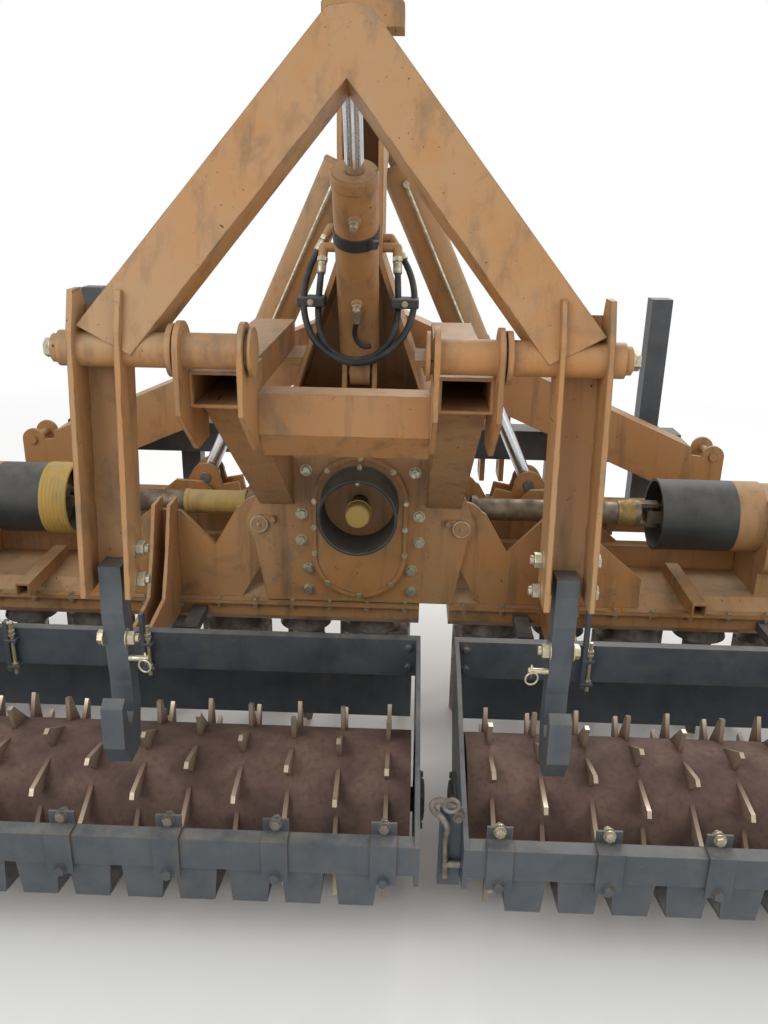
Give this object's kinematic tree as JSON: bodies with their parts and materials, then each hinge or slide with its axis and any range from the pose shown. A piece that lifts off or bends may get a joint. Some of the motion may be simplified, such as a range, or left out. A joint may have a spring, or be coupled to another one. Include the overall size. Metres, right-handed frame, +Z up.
{
  "type": "folding power harrow",
  "caption": "Folding power harrow with toothed packer rollers, hinged beds of tined rotors, and a hydraulic rear lift for a seed drill.",
  "frame": {"origin": "on the ground, under the middle of the machine's box", "axes": "+X to the right seen from behind, +Y forward in travel, +Z up"},
  "size_m": [5.21, 2.109, 2.295],
  "materials": {
    "orange_paint": "satin, dusty and scratched",
    "dark_paint": "satin, dusty",
    "guard_plastic": "matt black, dusty",
    "drum_steel": "brown, soil and rust",
    "worn_steel": "worn bright",
    "shaft_steel": "greased, dark",
    "zinc_steel": "zinc plated",
    "rod_chrome": "polished",
    "hose_rubber": "matt"
  },
  "bodies": {
    "chassis": {"hinge_frame": "orange_paint", "rear_frame": "orange_paint", "tower": "orange_paint", "central_gearbox": "orange_paint", "pto_guards": "guard_plastic", "front_beam": "orange_paint", "front_toolbar": "dark_paint", "eradicators": "dark_paint", "hitch": "orange_paint", "hinge_pins": "zinc_steel", "hose_left": "hose_rubber", "hose_right": "hose_rubber"},
    "wing_left": {"bed_left": "orange_paint", "wing_frame_left": "orange_paint", "side_gearbox_left": "orange_paint", "shaft_guard_left": "guard_plastic", "roller_frame_left": "dark_paint", "scraper_bar_left": "dark_paint", "levelling_board_left": "dark_paint"},
    "wing_right": {"bed_right": "orange_paint", "wing_frame_right": "orange_paint", "side_gearbox_right": "orange_paint", "shaft_guard_right": "guard_plastic", "roller_frame_right": "dark_paint", "scraper_bar_right": "dark_paint", "levelling_board_right": "dark_paint"},
    "driveline_left": {"driveline_left": "shaft_steel"},
    "driveline_right": {"driveline_right": "shaft_steel"},
    "rotor_left_01": {"rotor_left_01": "worn_steel"},
    "rotor_left_02": {"rotor_left_02": "worn_steel"},
    "rotor_left_03": {"rotor_left_03": "worn_steel"},
    "rotor_left_04": {"rotor_left_04": "worn_steel"},
    "rotor_left_05": {"rotor_left_05": "worn_steel"},
    "rotor_left_06": {"rotor_left_06": "worn_steel"},
    "rotor_left_07": {"rotor_left_07": "worn_steel"},
    "rotor_left_08": {"rotor_left_08": "worn_steel"},
    "rotor_left_09": {"rotor_left_09": "worn_steel"},
    "rotor_left_10": {"rotor_left_10": "worn_steel"},
    "rotor_left_11": {"rotor_left_11": "worn_steel"},
    "roller_left": {"roller_left": "drum_steel"},
    "rotor_right_01": {"rotor_right_01": "worn_steel"},
    "rotor_right_02": {"rotor_right_02": "worn_steel"},
    "rotor_right_03": {"rotor_right_03": "worn_steel"},
    "rotor_right_04": {"rotor_right_04": "worn_steel"},
    "rotor_right_05": {"rotor_right_05": "worn_steel"},
    "rotor_right_06": {"rotor_right_06": "worn_steel"},
    "rotor_right_07": {"rotor_right_07": "worn_steel"},
    "rotor_right_08": {"rotor_right_08": "worn_steel"},
    "rotor_right_09": {"rotor_right_09": "worn_steel"},
    "roller_right": {"roller_right": "drum_steel"},
    "pto_shaft": {"pto_shaft": "shaft_steel"},
    "fold_barrel_left": {"fold_barrel_left": "orange_paint"},
    "fold_rod_left": {"fold_rod_left": "rod_chrome"},
    "fold_barrel_right": {"fold_barrel_right": "orange_paint"},
    "fold_rod_right": {"fold_rod_right": "rod_chrome"},
    "drill_lift": {"lift_shaft": "orange_paint", "lift_frame": "orange_paint", "hook_bars": "dark_paint"},
    "lift_barrel": {"lift_barrel": "orange_paint"},
    "lift_rod": {"lift_rod": "rod_chrome"}
  },
  "joints": [
    {"name": "fold_left", "type": "hinge", "parent": "chassis", "child": "wing_left", "pos_m": [-0.327, 0.1795, 0.785], "axis": [0, 1, 0], "range_deg": [0, 90]},
    {"name": "fold_right", "type": "hinge", "parent": "chassis", "child": "wing_right", "pos_m": [0.327, 0.1795, 0.785], "axis": [0, -1, 0], "range_deg": [0, 90]},
    {"name": "drive_left", "type": "hinge", "parent": "wing_left", "child": "driveline_left", "pos_m": [-0.7, 0.1795, 0.785], "axis": [1, 0, 0], "continuous": true},
    {"name": "drive_right", "type": "hinge", "parent": "wing_right", "child": "driveline_right", "pos_m": [0.7, 0.1795, 0.785], "axis": [1, 0, 0], "continuous": true},
    {"name": "rotor_left_01_spin", "type": "hinge", "parent": "wing_left", "child": "rotor_left_01", "pos_m": [0.0475, 0.1795, 0.38], "axis": [0, 0, 1], "continuous": true},
    {"name": "rotor_left_02_spin", "type": "hinge", "parent": "wing_left", "child": "rotor_left_02", "pos_m": [-0.2025, 0.1795, 0.38], "axis": [0, 0, 1], "continuous": true},
    {"name": "rotor_left_03_spin", "type": "hinge", "parent": "wing_left", "child": "rotor_left_03", "pos_m": [-0.4525, 0.1795, 0.38], "axis": [0, 0, 1], "continuous": true},
    {"name": "rotor_left_04_spin", "type": "hinge", "parent": "wing_left", "child": "rotor_left_04", "pos_m": [-0.7025, 0.1795, 0.38], "axis": [0, 0, 1], "continuous": true},
    {"name": "rotor_left_05_spin", "type": "hinge", "parent": "wing_left", "child": "rotor_left_05", "pos_m": [-0.9525, 0.1795, 0.38], "axis": [0, 0, 1], "continuous": true},
    {"name": "rotor_left_06_spin", "type": "hinge", "parent": "wing_left", "child": "rotor_left_06", "pos_m": [-1.2025, 0.1795, 0.38], "axis": [0, 0, 1], "continuous": true},
    {"name": "rotor_left_07_spin", "type": "hinge", "parent": "wing_left", "child": "rotor_left_07", "pos_m": [-1.4525, 0.1795, 0.38], "axis": [0, 0, 1], "continuous": true},
    {"name": "rotor_left_08_spin", "type": "hinge", "parent": "wing_left", "child": "rotor_left_08", "pos_m": [-1.7025, 0.1795, 0.38], "axis": [0, 0, 1], "continuous": true},
    {"name": "rotor_left_09_spin", "type": "hinge", "parent": "wing_left", "child": "rotor_left_09", "pos_m": [-1.9525, 0.1795, 0.38], "axis": [0, 0, 1], "continuous": true},
    {"name": "rotor_left_10_spin", "type": "hinge", "parent": "wing_left", "child": "rotor_left_10", "pos_m": [-2.2025, 0.1795, 0.38], "axis": [0, 0, 1], "continuous": true},
    {"name": "rotor_left_11_spin", "type": "hinge", "parent": "wing_left", "child": "rotor_left_11", "pos_m": [-2.4525, 0.1795, 0.38], "axis": [0, 0, 1], "continuous": true},
    {"name": "roller_left_spin", "type": "hinge", "parent": "wing_left", "child": "roller_left", "pos_m": [-1.4, -0.6855, 0.25], "axis": [1, 0, 0], "continuous": true},
    {"name": "rotor_right_01_spin", "type": "hinge", "parent": "wing_right", "child": "rotor_right_01", "pos_m": [0.4525, 0.1795, 0.38], "axis": [0, 0, 1], "continuous": true},
    {"name": "rotor_right_02_spin", "type": "hinge", "parent": "wing_right", "child": "rotor_right_02", "pos_m": [0.7025, 0.1795, 0.38], "axis": [0, 0, 1], "continuous": true},
    {"name": "rotor_right_03_spin", "type": "hinge", "parent": "wing_right", "child": "rotor_right_03", "pos_m": [0.9525, 0.1795, 0.38], "axis": [0, 0, 1], "continuous": true},
    {"name": "rotor_right_04_spin", "type": "hinge", "parent": "wing_right", "child": "rotor_right_04", "pos_m": [1.2025, 0.1795, 0.38], "axis": [0, 0, 1], "continuous": true},
    {"name": "rotor_right_05_spin", "type": "hinge", "parent": "wing_right", "child": "rotor_right_05", "pos_m": [1.4525, 0.1795, 0.38], "axis": [0, 0, 1], "continuous": true},
    {"name": "rotor_right_06_spin", "type": "hinge", "parent": "wing_right", "child": "rotor_right_06", "pos_m": [1.7025, 0.1795, 0.38], "axis": [0, 0, 1], "continuous": true},
    {"name": "rotor_right_07_spin", "type": "hinge", "parent": "wing_right", "child": "rotor_right_07", "pos_m": [1.9525, 0.1795, 0.38], "axis": [0, 0, 1], "continuous": true},
    {"name": "rotor_right_08_spin", "type": "hinge", "parent": "wing_right", "child": "rotor_right_08", "pos_m": [2.2025, 0.1795, 0.38], "axis": [0, 0, 1], "continuous": true},
    {"name": "rotor_right_09_spin", "type": "hinge", "parent": "wing_right", "child": "rotor_right_09", "pos_m": [2.4525, 0.1795, 0.38], "axis": [0, 0, 1], "continuous": true},
    {"name": "roller_right_spin", "type": "hinge", "parent": "wing_right", "child": "roller_right", "pos_m": [1.4, -0.6855, 0.25], "axis": [1, 0, 0], "continuous": true},
    {"name": "pto_spin", "type": "hinge", "parent": "chassis", "child": "pto_shaft", "pos_m": [0, 0.1795, 0.871], "axis": [0, 1, 0], "continuous": true},
    {"name": "fold_barrel_left_swing", "type": "hinge", "parent": "chassis", "child": "fold_barrel_left", "pos_m": [-0.055, 0.4295, 1.96], "axis": [0, 1, 0], "range_deg": [-9.6, 0]},
    {"name": "fold_rod_left_slide", "type": "slide", "parent": "fold_barrel_left", "child": "fold_rod_left", "axis": [-0.4209, 0, -0.9071], "range_m": [-0.326, 0]},
    {"name": "fold_barrel_right_swing", "type": "hinge", "parent": "chassis", "child": "fold_barrel_right", "pos_m": [0.055, 0.4295, 1.96], "axis": [0, -1, 0], "range_deg": [-9.6, 0]},
    {"name": "fold_rod_right_slide", "type": "slide", "parent": "fold_barrel_right", "child": "fold_rod_right", "axis": [0.4209, 0, -0.9071], "range_m": [-0.326, 0]},
    {"name": "drill_lift_swing", "type": "hinge", "parent": "chassis", "child": "drill_lift", "pos_m": [0, -0.8305, 1.478], "axis": [-1, 0, 0], "range_deg": [0, 18]},
    {"name": "lift_barrel_swing", "type": "hinge", "parent": "chassis", "child": "lift_barrel", "pos_m": [0, -0.0705, 1.3], "axis": [-1, 0, 0], "range_deg": [0, 6.3]},
    {"name": "lift_rod_slide", "type": "slide", "parent": "lift_barrel", "child": "lift_rod", "axis": [0, -0.5231, 0.8523], "range_m": [-0.184, 0]}
  ],
  "couplings": [
    {"joint": "drive_right", "follows": "drive_left", "ratio": 1},
    {"joint": "rotor_left_01_spin", "follows": "drive_left", "ratio": 0.5},
    {"joint": "rotor_left_02_spin", "follows": "drive_left", "ratio": -0.5},
    {"joint": "rotor_left_03_spin", "follows": "drive_left", "ratio": 0.5},
    {"joint": "rotor_left_04_spin", "follows": "drive_left", "ratio": -0.5},
    {"joint": "rotor_left_05_spin", "follows": "drive_left", "ratio": 0.5},
    {"joint": "rotor_left_06_spin", "follows": "drive_left", "ratio": -0.5},
    {"joint": "rotor_left_07_spin", "follows": "drive_left", "ratio": 0.5},
    {"joint": "rotor_left_08_spin", "follows": "drive_left", "ratio": -0.5},
    {"joint": "rotor_left_09_spin", "follows": "drive_left", "ratio": 0.5},
    {"joint": "rotor_left_10_spin", "follows": "drive_left", "ratio": -0.5},
    {"joint": "rotor_left_11_spin", "follows": "drive_left", "ratio": 0.5},
    {"joint": "rotor_right_01_spin", "follows": "drive_left", "ratio": 0.5},
    {"joint": "rotor_right_02_spin", "follows": "drive_left", "ratio": -0.5},
    {"joint": "rotor_right_03_spin", "follows": "drive_left", "ratio": 0.5},
    {"joint": "rotor_right_04_spin", "follows": "drive_left", "ratio": -0.5},
    {"joint": "rotor_right_05_spin", "follows": "drive_left", "ratio": 0.5},
    {"joint": "rotor_right_06_spin", "follows": "drive_left", "ratio": -0.5},
    {"joint": "rotor_right_07_spin", "follows": "drive_left", "ratio": 0.5},
    {"joint": "rotor_right_08_spin", "follows": "drive_left", "ratio": -0.5},
    {"joint": "rotor_right_09_spin", "follows": "drive_left", "ratio": 0.5},
    {"joint": "pto_spin", "follows": "drive_left", "ratio": 1},
    {"joint": "fold_barrel_left_swing", "follows": "fold_left", "ratio": -0.1062},
    {"joint": "fold_rod_left_slide", "follows": "fold_left", "m_per_rad": -0.2072},
    {"joint": "fold_barrel_right_swing", "follows": "fold_right", "ratio": -0.1062},
    {"joint": "fold_rod_right_slide", "follows": "fold_right", "m_per_rad": -0.2072},
    {"joint": "lift_barrel_swing", "follows": "drill_lift_swing", "ratio": 0.3435},
    {"joint": "lift_rod_slide", "follows": "drill_lift_swing", "m_per_rad": -0.5841}
  ]
}
